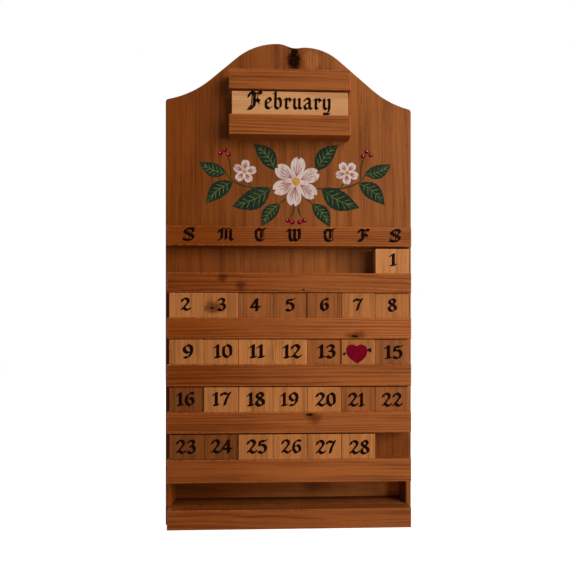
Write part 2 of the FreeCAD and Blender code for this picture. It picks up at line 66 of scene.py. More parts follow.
class Tree:
    """Fills a node tree. A socket given as a value is joined, and anything else is set."""

    def __init__(self, tree):
        self.tree = tree

    def fill(self, node, values):
        for key, given in values.items():
            if isinstance(given, bpy.types.NodeSocket):
                self.tree.links.new(given, node.inputs[key])
            else:
                node.inputs[key].default_value = given
        return node

    def add(self, kind, values=None, **settings):
        node = self.tree.nodes.new("ShaderNode" + kind)
        for name, setting in settings.items():
            setattr(node, name, setting)
        return self.fill(node, values or {})

    def math(self, operation, first, second=0.0, clamp=False):
        return self.add("Math", {0: first, 1: second}, operation=operation, use_clamp=clamp).outputs[0]

    def total(self, first, *others):
        for other in others:
            first = self.math("ADD", first, other)
        return first

    def product(self, first, *others):
        for other in others:
            first = self.math("MULTIPLY", first, other)
        return first

    def swing(self, noise, reach):
        """Noise moved down by a half, so that its middle is 0, times a reach."""
        return self.product(self.math("SUBTRACT", noise, 0.5), reach)

    def vector(self, operation, first, second):
        return self.add("VectorMath", {0: first, 1: second}, operation=operation).outputs[0]

    def length(self, vector):
        return self.add("VectorMath", {0: vector}, operation="LENGTH").outputs["Value"]

    def parts(self, vector):
        return self.add("SeparateXYZ", {0: vector}).outputs

    def noise(self, vector, scale, detail=3.0, twist=0.0):
        """Noise from 0 to 1, with its features 1/scale wide, in metres."""
        values = {"Vector": vector, "Scale": scale, "Detail": detail, "Distortion": twist}
        return self.add("TexNoise", values).outputs[0]

    def stretched_noise(self, vector, across, along, detail=2.0, rough=0.5):
        """Noise from 0 to 1, with its features 1/across wide and 1/along long, in metres."""
        spread = self.vector("MULTIPLY", vector, (across, across, along))
        values = {"Vector": spread, "Scale": 1.0, "Detail": detail, "Roughness": rough}
        return self.add("TexNoise", values).outputs[0]

    def step(self, value, low, high, start=0.0, end=1.0):
        """Runs smoothly from start to end as the value goes from low to high."""
        values = {"Value": value, "From Min": low, "From Max": high, "To Min": start, "To Max": end}
        return self.add("MapRange", values, interpolation_type="SMOOTHSTEP").outputs[0]

    def blend(self, share, first, second, kind="MIX"):
        values = {0: share, 6: first, 7: second}
        return self.add("Mix", values, data_type="RGBA", blend_type=kind).outputs[2]


def new_group(name, inputs, outputs):
    """An empty shader group with named sockets, its input sockets by name, and a way to set outputs."""
    tree = bpy.data.node_groups.new(name, "ShaderNodeTree")
    for socket, kind, default in inputs:
        made = tree.interface.new_socket(socket, in_out="INPUT", socket_type="NodeSocket" + kind)
        if default is not None:
            made.default_value = default
    for socket, kind in outputs:
        tree.interface.new_socket(socket, in_out="OUTPUT", socket_type="NodeSocket" + kind)
    given = tree.nodes.new("NodeGroupInput").outputs
    taken = tree.nodes.new("NodeGroupOutput").inputs
    return Tree(tree), given, taken


def put(tree, socket, into):
    tree.tree.links.new(socket, into)


def use(tree, group, values):
    """A group's outputs, with the group set into a tree."""
    node = tree.tree.nodes.new("ShaderNodeGroup")
    node.node_tree = group.tree
    return tree.fill(node, values).outputs


# Shared effects

def make_pine_grain():
    """Pine sawn along the trunk, with its grain along the vector's Z.

    A ring lies wherever (distance from the pith line / spacing + slow noise + bend) is a whole number.
    Each ring darkens slowly and ends sharply, and comes and goes along its length. Fibres are noise
    drawn out along the grain, and the stain has taken unevenly in slow patches.
    """
    tree, given, taken = new_group("pine_grain", (
        ("Vector", "Vector", None), ("Pale", "Color", (0.4, 0.2, 0.08, 1)),
        ("Deep", "Color", (0.2, 0.08, 0.02, 1)), ("Spacing", "Float", 0.003),
        ("Pith X", "Float", 0.0), ("Pith Y", "Float", 0.06), ("Bend", "Float", 0.0),
        ("Lines", "Float", 0.6), ("Fibres", "Float", 1.0), ("Patches", "Float", 0.5),
    ), (("Color", "Color"), ("Roughness", "Float"), ("Height", "Float")))
    vector = given["Vector"]
    x, y, _ = tree.parts(vector)
    dx, dy = tree.math("SUBTRACT", x, given["Pith X"]), tree.math("SUBTRACT", y, given["Pith Y"])
    reach = tree.math("SQRT", tree.total(tree.product(dx, dx), tree.product(dy, dy)))
    slow = tree.product(tree.stretched_noise(vector, 11, 1.7, 1.0), 9.0)
    quick = tree.product(tree.stretched_noise(vector, 70, 9, 2.0), 1.6)
    ring = tree.total(tree.math("DIVIDE", reach, given["Spacing"]), slow, quick, given["Bend"])
    ring = tree.math("FRACT", ring)
    kept = tree.step(tree.stretched_noise(vector, 55, 5, 2.0), 0.36, 0.62, 0.15, 1.3)
    late = tree.product(tree.step(ring, 0.25, 0.88), tree.step(ring, 0.9, 1.0, 1.0, 0.0), kept)
    fibre = tree.stretched_noise(vector, 620, 11, 3.0, 0.62)
    streak = tree.stretched_noise(vector, 120, 3.5, 2.0)
    fine = tree.stretched_noise(vector, 1500, 45, 2.0)
    pores = tree.step(tree.stretched_noise(vector, 900, 60, 1.0), 0.66, 0.74)
    threads = tree.total(tree.swing(fibre, 1.7), tree.swing(streak, 1.5), tree.swing(fine, 0.7),
                         tree.product(pores, 0.25))
    deep = tree.total(tree.product(late, given["Lines"]), tree.product(threads, given["Fibres"]))
    deep = tree.math("ADD", deep, 0.12, clamp=True)
    colour = tree.blend(deep, given["Pale"], given["Deep"])
    uneven = tree.swing(tree.stretched_noise(vector, 26, 9, 3.0, 0.6), given["Patches"])
    value = tree.total(uneven, 1.0)
    warm = tree.total(tree.product(uneven, 0.8), 1.0)
    tint = tree.add("CombineColor", {0: value, 1: value, 2: warm}).outputs[0]
    put(tree, tree.blend(1.0, colour, tint, "MULTIPLY"), taken["Color"])
    put(tree, tree.total(tree.product(fibre, 0.2), 0.44, tree.product(late, -0.08)), taken["Roughness"])
    put(tree, tree.total(tree.product(fibre, 0.5), tree.product(pores, -0.5), tree.product(late, 0.5)),
        taken["Height"])
    return tree


def from_centre(tree, given):
    """Distance from a group's centre, with each axis stretched."""
    away = tree.vector("SUBTRACT", given["Vector"], given["Centre"])
    return tree.length(tree.vector("MULTIPLY", away, given["Stretch"]))


def make_knot():
    """A knot that runs straight back from the face: a dark heart with rings of its own, in a halo.

    d = distance from the centre / radius. The heart is where d, made uneven by noise, is under 1, and
    the wood's own rings are pushed round it by 2.2 * exp(-d * d / 5).
    """
    tree, given, taken = new_group("knot", (
        ("Vector", "Vector", None), ("Centre", "Vector", None), ("Radius", "Float", 0.004),
        ("Stretch", "Vector", (1.0, 0.0, 1.0)),
    ), (("Heart", "Float"), ("Halo", "Float"), ("Bend", "Float")))
    distance = tree.math("DIVIDE", from_centre(tree, given), given["Radius"])
    uneven = tree.total(distance, tree.swing(tree.noise(given["Vector"], 260.0), 0.9))
    rings = tree.math("SINE", tree.product(uneven, 16.0))
    dark = tree.total(tree.product(rings, 0.04), 0.95)
    put(tree, tree.product(tree.step(uneven, 0.6, 1.2, 1.0, 0.0), dark), taken["Heart"])
    put(tree, tree.step(uneven, 0.9, 2.6, 1.0, 0.0), taken["Halo"])
    push = tree.math("EXPONENT", tree.product(distance, distance, -0.2))
    put(tree, tree.product(push, 2.2), taken["Bend"])
    return tree


def make_soft_spot():
    """A soft round spot: 1 within the inner radius of a stretched distance, and 0 beyond the outer."""
    tree, given, taken = new_group("soft_spot", (
        ("Vector", "Vector", None), ("Centre", "Vector", None), ("Stretch", "Vector", (1.0, 0.0, 1.0)),
        ("Inner", "Float", 0.01), ("Outer", "Float", 0.02),
    ), (("Mask", "Float"),))
    uneven = tree.swing(tree.noise(given["Vector"], 90.0), 0.012)
    distance = tree.total(from_centre(tree, given), uneven)
    put(tree, tree.step(distance, given["Inner"], given["Outer"], 1.0, 0.0), taken["Mask"])
    return tree


def make_worn_edge():
    """How near a point on a squared piece is to one of its edges, 1 at the edge and 0 a width away.

    With the three distances to the piece's faces in order, the middle one is the distance to the
    nearest edge. Noise makes the band come and go. The band marks edges rubbed pale, and is partly a
    painted highlight along them.
    """
    tree, given, taken = new_group("worn_and_lit_edge", (
        ("Vector", "Vector", None), ("Centre", "Vector", None), ("Half", "Vector", None),
        ("Width", "Float", 0.0015),
    ), (("Mask", "Float"),))
    away = tree.vector("SUBTRACT", given["Vector"], given["Centre"])
    away = tree.add("VectorMath", {0: away}, operation="ABSOLUTE").outputs[0]
    x, y, z = tree.parts(tree.vector("SUBTRACT", given["Half"], away))
    low, high = tree.math("MINIMUM", x, y), tree.math("MAXIMUM", x, y)
    middle = tree.math("MAXIMUM", low, tree.math("MINIMUM", high, z))
    noise = tree.noise(given["Vector"], 190.0)
    band = tree.product(given["Width"], tree.total(noise, 0.35))
    near = tree.math("SUBTRACT", 1.0, tree.math("DIVIDE", middle, band), clamp=True)
    put(tree, tree.product(near, tree.step(noise, 0.3, 0.6)), taken["Mask"])
    return tree


def make_brush_marks():
    """Brush marks in paint: noise drawn out upwards, and thin spots where the brush ran dry."""
    tree, given, taken = new_group("brush_marks", (
        ("Vector", "Vector", None), ("Thick", "Color", (0, 0, 0, 1)), ("Thin", "Color", (0, 0, 0, 1)),
        ("Size", "Float", 300.0),
    ), (("Color", "Color"), ("Roughness", "Float"), ("Height", "Float")))
    spread = tree.vector("MULTIPLY", given["Vector"], (1.0, 1.0, 0.35))
    marks = tree.noise(spread, given["Size"], 4.0, 0.6)
    dry = tree.step(marks, 0.42, 0.72)
    put(tree, tree.blend(dry, given["Thick"], given["Thin"]), taken["Color"])
    put(tree, tree.total(tree.product(marks, 0.3), 0.35), taken["Roughness"])
    put(tree, marks, taken["Height"])
    return tree


PINE_GRAIN = make_pine_grain()
KNOT = make_knot()
SOFT_SPOT = make_soft_spot()
WORN_AND_LIT_EDGE = make_worn_edge()
BRUSH_MARKS = make_brush_marks()


# Materials

# What the darkening towards the left leaves of the light, partly deeper stain and partly painted shade,
# and where along X it is full and where it ends
LEFT_STAIN_AND_SHADE = (0.61, 0.45, 0.18, 1.0)
LEFT_STAIN_AND_SHADE_REACH = (-0.17, 0.08)
# Turns that lay the grain along Z or along X
UPRIGHT = (0.0, 0.0, 0.0)
LEVEL = (0.0, math.pi / 2, 0.0)


def new_material(name):
    """A material with its shader, and a tree to fill."""
    material = bpy.data.materials.new(name)
    material.use_nodes = True
    return material, Tree(material.node_tree), material.node_tree.nodes["Principled BSDF"]


def finish_surface(tree, shader, colour, roughness, height, depth):
    """Join a surface's colour, roughness and height to its shader."""
    bump = tree.add("Bump", {"Height": height, "Distance": depth, "Strength": 0.6})
    put(tree, colour, shader.inputs["Base Color"])
    put(tree, roughness, shader.inputs["Roughness"])
    put(tree, bump.outputs[0], shader.inputs["Normal"])


def pine(name, tone, box, share=0.52, grain=UPRIGHT, spacing=0.0026, pith=(0.0, 0.05), lines=0.6,
         fibres=1.0, patches=0.5, knots=(), spots=(), wear=0.5, deeper_left=0.0):
    """Stained pine. Each piece is sawn from another place along the trunk, drawn at random.

    Box is the piece's own two corners. Share is how light the rings are beside the wood between them.
    Knots are (x, z, radius, how many times longer along X). Spots are (x, z, inner radius, outer
    radius, how many times longer along X, and the shares of red, green and blue light that the spot
    gives back), and fade with the depth behind the front. The wear setting is how far the edges are
    made pale, partly as rubbed wear and partly as a painted highlight. The left setting is how far the
    colour darkens towards the calendar's left side, partly as deeper stain and partly as painted shade.
    """
    material, tree, shader = new_material(name)
    point = tree.add("TexCoord").outputs["Object"]
    place = (0.0, 0.0, rng.uniform(-2, 2, 3)[2])
    placed = tree.add("Mapping", {"Vector": point, "Location": place, "Rotation": grain}).outputs[0]
    bend, heart, halo = 0.0, 0.0, 0.0
    for x, z, radius, longer in knots:
        knot = use(tree, KNOT, {"Vector": point, "Centre": (x, 0, z), "Radius": radius,
                                "Stretch": (1 / longer, 0, 1)})
        bend = tree.total(knot["Bend"], bend)
        heart = tree.math("MAXIMUM", knot["Heart"], heart)
        halo = tree.math("MAXIMUM", knot["Halo"], halo)
    wood = use(tree, PINE_GRAIN, {
        "Vector": placed, "Pale": tone, "Deep": deepened(tone, share), "Spacing": spacing,
        "Pith X": pith[0], "Pith Y": pith[1], "Bend": bend, "Lines": lines, "Fibres": fibres,
        "Patches": patches})
    colour = wood["Color"]
    low, high = (np.array(corner) for corner in box)
    for x, z, inner, outer, longer, shares in spots:
        spot = use(tree, SOFT_SPOT, {"Vector": point, "Centre": (x, low[1], z), "Inner": inner,
                                     "Outer": outer, "Stretch": (1 / longer, 2, 1)})
        colour = tree.blend(spot["Mask"], colour, tree.blend(1.0, colour, (*shares, 1.0), "MULTIPLY"))
    if knots:
        colour = tree.blend(tree.product(halo, 0.4), colour, deepened(tone, 0.3))
        colour = tree.blend(heart, colour, deepened(tone, 0.02))
    # Painted shade and deeper stain together: the colour darkens towards the calendar's left side, where
    # the light falls off.
    if deeper_left:
        across = tree.step(tree.parts(point)[0], *LEFT_STAIN_AND_SHADE_REACH, deeper_left, 0.0)
        colour = tree.blend(across, colour, LEFT_STAIN_AND_SHADE, "MULTIPLY")
    # Edges made pale: partly rubbed wear, partly a painted highlight along the arrises.
    edge = use(tree, WORN_AND_LIT_EDGE, {"Vector": point, "Centre": tuple((low + high) / 2),
                                 "Half": tuple((high - low) / 2)})
    rubbed_and_lit = tuple(min(1.0, part * 1.5) for part in tone[:3]) + (1.0,)
    colour = tree.blend(tree.product(edge["Mask"], wear), colour, rubbed_and_lit)
    finish_surface(tree, shader, colour, wood["Roughness"], wood["Height"], 0.00025)
    sheen = tree.math("SUBTRACT", 0.055, tree.product(heart, 0.045))
    put(tree, sheen, shader.inputs["Specular IOR Level"])
    return material


def steel(name, tone, roughness):
    """Bright plated steel, dulled in spots."""
    material, tree, shader = new_material(name)
    spots = tree.noise(tree.add("TexCoord").outputs["Object"], 900.0, 4.0)
    colour = tree.blend(tree.step(spots, 0.45, 0.7), tone, deepened(tone, 0.55))
    shader.inputs["Metallic"].default_value = 1.0
    dulled = tree.step(spots, 0.3, 0.7, roughness, roughness + 0.25)
    finish_surface(tree, shader, colour, dulled, spots, 0.0001)
    return material


def give(node, material):
    """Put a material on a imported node, in place of what it came with."""
    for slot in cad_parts[node].material_slots:
        slot.material = material


def dress(node, name, tone, **looks):
    """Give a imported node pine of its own, worn along its own edges."""
    give(node, pine(name, tone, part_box(node), **looks))


def from_left(marks, left):
    """A piece's knots or spots, with X given from its left side, moved to the frame's X."""
    return [(left + x, *others) for x, *others in marks]


BOARD = stain(148, 86, 42)
RAIL = stain(157, 88, 42)
PLATE = stain(202, 146, 98)
TILE_TONES = {
    "pale": stain(193, 128, 76), "light": stain(181, 115, 63), "honey": stain(173, 109, 60),
    "tan": stain(152, 89, 46), "brown": stain(119, 65, 27), "bright": stain(192, 124, 69),
}
TILE_KINDS = {
    1: "pale", 12: "bright", **dict.fromkeys((11, 18, 19, 20, 26, 27, 28), "light"),
    **dict.fromkeys((4, 5, 6, 13, 15, 21, 22), "tan"), **dict.fromkeys((16, 23, 24), "brown"),
}

# Knots and spots, as pine's docstring lists them, in metres. The spots marked below are painted shade
# and painted light.
BOARD_KNOTS = (
    (0.0056, 0.5418, 0.0114, 0.74), (0.0062, 0.5515, 0.006, 0.9), (0.0022, 0.5575, 0.0024, 1.9),
)
BOARD_SPOTS = (
    (0.0265, 0.5425, 0.006, 0.016, 0.8, (1.55, 1.7, 1.8)),
    (0.117, 0.093, 0.016, 0.034, 1.2, (0.62, 0.5, 0.32)),
    # Painted shade on the board under the month holder
    (0.0, 0.43, 0.02, 0.09, 1.6, (0.86, 0.84, 0.8)),
    (-0.11, 0.4, 0.01, 0.05, 0.5, (0.88, 0.85, 0.8)),
    # Painted shade on the board in the first row, beside the first tile
    (0.07, 0.308, 0.008, 0.024, 1.5, (0.7, 0.7, 0.62)),
)
RAIL_KNOTS = {
    "date_rail_1": ((0.015, 0.2714, 0.001, 1.3),),
    "date_rail_2": ((0.074, 0.2187, 0.0014, 2.8),),
    "date_rail_4": ((0.0222, 0.1297, 0.0017, 2.6),),
}
RAIL_SPOTS = {
    "date_rail_1": ((-0.0772, 0.2853, 0.0005, 0.0078, 1.1, (0.48, 0.38, 0.32)),
                    (-0.0552, 0.2755, 0.002, 0.009, 1.2, (0.42, 0.33, 0.26))),
    "date_rail_2": ((0.074, 0.2195, 0.0005, 0.006, 2.4, (0.5, 0.4, 0.35)),),
    "date_rail_4": ((0.0262, 0.1255, 0.0005, 0.011, 1.2, (0.5, 0.4, 0.33)),),
}
PANEL_SPOTS = (
    (0.033, 0.04, 0.004, 0.02, 1.3, (0.55, 0.46, 0.35)),
    (-0.12, 0.026, 0.008, 0.045, 1.8, (0.7, 0.64, 0.55)),
    # Painted light at the right end of the storage slot
    (0.139, 0.04, 0.014, 0.036, 1.0, (2.3, 2.2, 1.2)),
)
# The third tile's knot, with X from the tile's left side
TILE_KNOTS = {3: ((0.0092, 0.2508, 0.0014, 2.2),)}
TILE_SPOTS = {3: ((0.0095, 0.2512, 0.0012, 0.0088, 1.9, (0.42, 0.34, 0.28)),)}

# How far each rail darkens to the left, partly deeper stain and partly painted shade, and the share of
# light that the whole rail gives back
RAIL_LEFT_SHADE_AND_TONE = {
    "month_rail_upper": (0.3, 1.0), "month_rail_lower": (0.3, 1.0), "weekday_rail": (1.35, 0.94),
    "date_rail_2": (1.15, 1.1), "date_rail_3": (1.1, 1.0), "date_rail_4": (0.85, 1.05),
    "date_rail_5": (0.65, 1.02), "base_rail": (0.55, 0.88),
}


def dress_wood():
    """Give every piece of wood its own sawn face and stain."""
    dress("backboard", "board_stained_pine", BOARD, spacing=0.0043, pith=(0.03, 0.09), lines=0.16,
          fibres=1.7, patches=0.6, knots=BOARD_KNOTS, spots=BOARD_SPOTS, wear=0.25, deeper_left=1.0)
    rails = ["weekday_rail", "base_rail", "month_rail_lower", "month_rail_upper"]
    rails += [f"date_rail_{row}" for row in range(1, 6)]
    for name in rails:
        low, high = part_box(name)
        deeper, light = RAIL_LEFT_SHADE_AND_TONE.get(name, (1.0, 1.0))
        aside = rng.uniform(-0.05, 0.05)
        middle = (low.z + high.z) / 2
        pith = (middle + aside + math.copysign(0.022, aside), 0.02 + rng.uniform(0, 0.03))
        dress(name, name + "_stained_pine", deepened(RAIL, light), grain=LEVEL, spacing=0.0024,
              pith=pith, lines=0.62, fibres=1.1, patches=0.6, knots=RAIL_KNOTS.get(name, ()),
              spots=RAIL_SPOTS.get(name, ()), wear=0.85, deeper_left=deeper)
    for date in range(1, 29):
        name = f"date_tile_{date:02d}"
        low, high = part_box(name)
        tone = deepened(TILE_TONES[TILE_KINDS.get(date, "honey")], rng.uniform(0.96, 1.04))
        pith = ((low.x + high.x) / 2 + rng.uniform(-0.03, 0.03), rng.uniform(0.0, 0.06))
        dress(name, name + "_pine", tone, share=0.62, spacing=rng.uniform(0.002, 0.0036), pith=pith,
              lines=0.4, fibres=1.6, patches=0.7, wear=0.3,
              knots=from_left(TILE_KNOTS.get(date, ()), low.x),
              spots=from_left(TILE_SPOTS.get(date, ()), low.x))
    dress("month_plate", "month_plate_pine", PLATE, share=0.72, grain=LEVEL, spacing=0.004,
          pith=(0.5, 0.03), lines=0.4, patches=0.3, wear=0.2)
    # Painted shade: the slot's floor and ceiling are half as light as the board, and the top spacer
    # shares their tone.
    for name in ("storage_floor", "storage_ceiling", "top_spacer"):
        dress(name, name + "_pine", deepened(BOARD, 0.5), grain=LEVEL, pith=(0.03, 0.04), wear=0.3)
    # Lit and shaded copies of the board: the slot's left end keeps the half tone as painted shade, and
    # its right end has the board's full tone as painted light.
    for name, light in (("storage_end_left", 0.5), ("storage_end_right", 1.0)):
        dress(name, name + "_pine", deepened(BOARD, light), pith=(0.15, 0.04), wear=0.3)
    dress("back_panel", "back_panel_ply", BOARD, share=0.7, grain=LEVEL, spacing=0.009,
          pith=(0.03, 0.012), lines=0.4, patches=0.9, wear=0.4, spots=PANEL_SPOTS, deeper_left=1.3)


def dress_metal():
    """Screws, pins, nails and the hanger."""
    zinc = steel("zinc_plated_steel", stain(186, 188, 186), 0.28)
    brass = steel("brass_plated_steel", stain(206, 172, 104), 0.3)
    for name in ("rail_screws", "panel_pins", "hanger_nails"):
        give(name, zinc)
    give("sawtooth_hanger", brass)


dress_wood()
dress_metal()


# Lettering

# Pen strokes of each sign, as points for the nib. Figures, capitals and small letters' bodies are 1
# high. The number after a sign's broad strokes is how far the pen moves on to the next sign, and the
# strokes after it are fine lines.
FIGURES = {
    "0": ([[(.36, .95), (.14, .80), (.10, .50), (.14, .22), (.38, .04)],
           [(.36, .95), (.58, .80), (.62, .50), (.60, .22), (.38, .04)]], .84),
    "1": ([[(.02, .76), (.12, .84), (.22, .94)], [(.24, .90), (.235, .50), (.24, .12)],
           [(.08, .06), (.24, .05), (.40, .08)]], .56),
    "2": ([[(.08, .72), (.16, .90), (.36, .95), (.55, .84), (.56, .66), (.36, .40), (.08, .10)],
           [(.08, .13), (.24, .17), (.46, .05), (.62, .07), (.70, .18)]], .84),
    "3": ([[(.10, .80), (.22, .93), (.42, .92), (.54, .80), (.46, .64), (.28, .54)],
           [(.30, .54), (.52, .48), (.59, .28), (.48, .08), (.28, .03), (.08, .14)]], .80),
    "4": ([[(.46, .96), (.28, .66), (.04, .34)], [(.04, .31), (.36, .32), (.74, .32)],
           [(.50, .92), (.49, .50), (.50, .04)]], .84),
    "5": ([[(.18, .88), (.34, .90), (.50, .86), (.66, .95)], [(.18, .88), (.15, .72), (.15, .56)],
           [(.15, .56), (.36, .62), (.56, .50), (.60, .28), (.48, .08), (.28, .03), (.08, .13)]], .80),
    "6": ([[(.62, .88), (.46, .95), (.26, .82), (.12, .55), (.14, .24), (.36, .04), (.58, .18),
            (.60, .40), (.44, .58), (.22, .48)]], .82),
    "7": ([[(.06, .74), (.12, .90), (.30, .90), (.46, .84), (.68, .95)],
           [(.68, .94), (.50, .62), (.38, .36), (.30, .06)]], .80),
    "8": ([[(.36, .55), (.16, .68), (.18, .88), (.36, .96), (.54, .86), (.52, .68), (.30, .50),
            (.12, .30), (.16, .10), (.36, .03), (.58, .12), (.60, .34), (.40, .52)]], .84),
    "9": ([[(.58, .52), (.36, .40), (.14, .54), (.12, .78), (.34, .95), (.58, .82), (.62, .52),
            (.52, .24), (.34, .06), (.12, .08)]], .84),
}
CAPITALS = {
    "F": ([[(.10, .72), (.14, .90), (.34, .93), (.58, .86), (.84, .96), (1.0, .88)],
           [(.52, .86), (.49, .60), (.49, .30), (.38, .10), (.04, .06)],
           [(.52, .50), (.66, .55), (.84, .46)]], 1.08,
          [[(.34, .84), (.31, .55), (.31, .16)], [(.76, .84), (.72, .66)], [(.84, .46), (.84, .30)],
           [(.31, .16), (.20, .22), (.10, .16)]]),
    "M": ([[(.02, .66), (.10, .84), (.26, .90)], [(.28, .86), (.27, .50), (.24, .18), (.02, .07)],
           [(.62, .88), (.61, .50), (.61, .14)],
           [(.98, .86), (.97, .50), (.98, .16), (1.14, .08)]], 1.28,
          [[(.28, .84), (.44, .97), (.62, .86)], [(.62, .84), (.80, .97), (.98, .84)],
           [(.24, .30), (.10, .24)]]),
    "S": ([[(.88, .74), (.76, .92), (.50, .94), (.24, .84), (.18, .68), (.38, .56), (.66, .45),
            (.84, .28), (.70, .08), (.36, .05), (.06, .12)]], 1.06,
          [[(.52, .90), (.50, .56)], [(.54, .44), (.50, .10)], [(.06, .12), (.12, .30), (.24, .34)],
           [(.88, .74), (.78, .62), (.68, .66)], [(.34, .84), (.33, .62)]]),
    "T": ([[(.06, .66), (.10, .86), (.30, .93), (.58, .86), (.94, .96)],
           [(.34, .84), (.14, .64), (.10, .36), (.28, .09), (.56, .04), (.84, .16)],
           [(.60, .82), (.57, .50), (.58, .24)]], 1.04,
          [[(.80, .84), (.79, .30)], [(.06, .66), (.14, .60)]]),
    "W": ([[(.02, .78), (.10, .92), (.20, .80), (.19, .40), (.26, .14), (.42, .05), (.58, .18)],
           [(.46, .90), (.58, .84), (.57, .40), (.62, .12), (.78, .05), (.96, .20)],
           [(.84, .92), (.96, .86), (.97, .50), (.96, .20)]], 1.24,
          [[(.84, .92), (1.02, .98)]]),
}
SMALL_LETTERS = {
    "a": ([[(.12, .74), (.22, .92), (.42, .94), (.56, .80), (.56, .40), (.58, .14), (.74, .06)],
           [(.54, .58), (.28, .50), (.12, .30), (.18, .10), (.34, .05), (.54, .24)]], .92),
    "b": ([[(.04, 1.36), (.18, 1.42), (.18, 1.10), (.17, .60), (.18, .20), (.38, .04), (.60, .18),
            (.64, .50), (.60, .78), (.42, .94), (.20, .76)]], .92),
    "e": ([[(.58, .14), (.40, .04), (.18, .16), (.13, .50), (.18, .80), (.38, .94), (.56, .78),
            (.46, .60), (.18, .46)]], .80),
    "r": ([[(.04, .84), (.18, .90), (.20, .60), (.19, .24), (.20, .14), (.34, .06)],
           [(.22, .72), (.38, .92), (.56, .80), (.54, .68)]], .76),
    "u": ([[(.04, .84), (.16, .90), (.17, .60), (.17, .22), (.34, .05), (.58, .24)],
           [(.50, .88), (.60, .86), (.60, .50), (.60, .16), (.76, .06)]], .94),
    "y": ([[(.04, .84), (.16, .90), (.17, .60), (.17, .22), (.34, .05), (.58, .22)],
           [(.50, .90), (.62, .84), (.62, .40), (.60, .0), (.44, -.30), (.20, -.36)],
           [(.14, -.30), (.30, -.40), (.62, -.36)]], .90),
}


# A drawing's field where nothing is near
FAR = 1e3


def smooth_path(points, steps=6):
    """A smooth line through points, each stretch a cubic. At every point it heads along the line that
    joins the point's two neighbours."""
    points = np.array(points, float)
    ends = np.vstack([2 * points[:1] - points[1:2], points, 2 * points[-1:] - points[-2:-1]])
    before, start, stop, after = (ends[i:len(ends) - 3 + i, None] for i in range(4))
    t = np.linspace(0, 1, steps, endpoint=False)[None, :, None]
    curve = 0.5 * (2 * start + (stop - before) * t
                   + (2 * before - 5 * start + 4 * stop - after) * t ** 2
                   + (3 * start - before - 3 * stop + after) * t ** 3)
    return np.vstack([curve.reshape(-1, 2), points[-1:]])


def stretch_distances(x, z, line):
    """Distance from each point of a grid to each straight stretch of a line, and how far along the
    stretch its nearest place is, from 0 to 1."""
    start, run = line[:-1], np.diff(line, axis=0)
    px, pz = x[..., None] - start[:, 0], z[..., None] - start[:, 1]
    share = (px * run[:, 0] + pz * run[:, 1]) / np.maximum((run ** 2).sum(1), 1e-12)
    share = np.clip(share, 0, 1)
    return np.hypot(px - share * run[:, 0], pz - share * run[:, 1]), share


def pen_strokes(x, z, strokes, width, angle, spread):
    """Distance to what a broad pen draws: the least distance to its path, moved to places along the
    nib, less the ink's spread. Under 0 is ink."""
    across = np.array([math.cos(angle), math.sin(angle)])
    places = np.linspace(-0.5, 0.5, max(2, math.ceil(width / spread))) * max(width - 2 * spread, 0)
    ink = np.full(x.shape, FAR)
    for stroke in strokes:
        path = smooth_path(stroke)
        for place in places:
            away, _ = stretch_distances(x, z, path + across * place)
            ink = np.minimum(ink, away.min(-1) - spread)
    return ink


def brush_strokes(x, z, strokes, radius):
    """Distance to strokes of a round brush that is lifted at both ends: the distance to each stretch,
    less a radius that runs as the square root of sine along the stroke."""
    ink = np.full(x.shape, FAR)
    for stroke in strokes:
        path = smooth_path(stroke)
        reach = radius * np.sqrt(np.sin(np.linspace(0.06, np.pi - 0.06, len(path))))
        low, high = path.min(0) - 2 * radius, path.max(0) + 2 * radius
        rows = slice(*np.searchsorted(z[:, 0], (low[1], high[1])))
        columns = slice(*np.searchsorted(x[0], (low[0], high[0])))
        away, share = stretch_distances(x[rows, columns], z[rows, columns], path)
        away = away - reach[:-1] - share * np.diff(reach)
        if away.size:
            ink[rows, columns] = np.minimum(ink[rows, columns], away.min(-1))
    return ink


def discs(x, z, places):
    """Distance to round dots, each given as its middle's X and Z and its radius."""
    return np.minimum.reduce([np.hypot(x - x0, z - z0) - radius for x0, z0, radius in places])


def painted_shape(x, z, ink):
    """Points, triangles and outline edges of the part of a grid where the ink's field is under 0.

    Each square of the grid is two triangles. A triangle with some corners in the ink is cut across where
    the field, taken as straight along its sides, is 0. A point's label is its place in the grid, or both
    ends of the side that it cuts.
    """
    size = ink.size
    index = np.arange(size).reshape(ink.shape)
    a, b, c, d = index[:-1, :-1], index[:-1, 1:], index[1:, 1:], index[1:, :-1]
    corners = np.concatenate([np.stack(three, -1).reshape(-1, 3) for three in ((a, b, c), (a, c, d))])
    inside = ink.ravel()[corners] < 0
    count = inside.sum(1)

    def turned(wanted, lone):
        """The corners of the wanted triangles, each turned to start with its lone corner."""
        return np.take_along_axis(corners[wanted], (lone[:, None] + np.arange(3)) % 3, 1).T

    def cut(first, second):
        return size + np.minimum(first, second) * size + np.maximum(first, second)

    p, q, r = turned(count == 1, inside[count == 1].argmax(1))
    tips, tip_edges = np.stack([p, cut(p, q), cut(p, r)], 1), np.stack([cut(p, q), cut(p, r)], 1)
    p, q, r = turned(count == 2, inside[count == 2].argmin(1))
    stumps = np.concatenate([np.stack([cut(p, q), q, r], 1), np.stack([cut(p, q), r, cut(p, r)], 1)])
    stump_edges = np.stack([cut(p, r), cut(p, q)], 1)
    triangles = np.concatenate([corners[count == 3], tips, stumps])
    edges = np.concatenate([tip_edges, stump_edges])
    labels, places = np.unique(np.concatenate([triangles.ravel(), edges.ravel()]), return_inverse=True)
    low, high = (labels - size) // size, (labels - size) % size
    low, high = np.where(labels < size, labels, low), np.where(labels < size, labels, high)
    field = ink.ravel()
    run = field[low] - field[high]
    share = np.where(run == 0, 0, field[low] / np.where(run == 0, 1, run))
    points = np.stack([grid.ravel()[low] + share * (grid.ravel()[high] - grid.ravel()[low])
                       for grid in (x, z)], 1)
    return points, places[:triangles.size].reshape(-1, 3), places[triangles.size:].reshape(-1, 2)


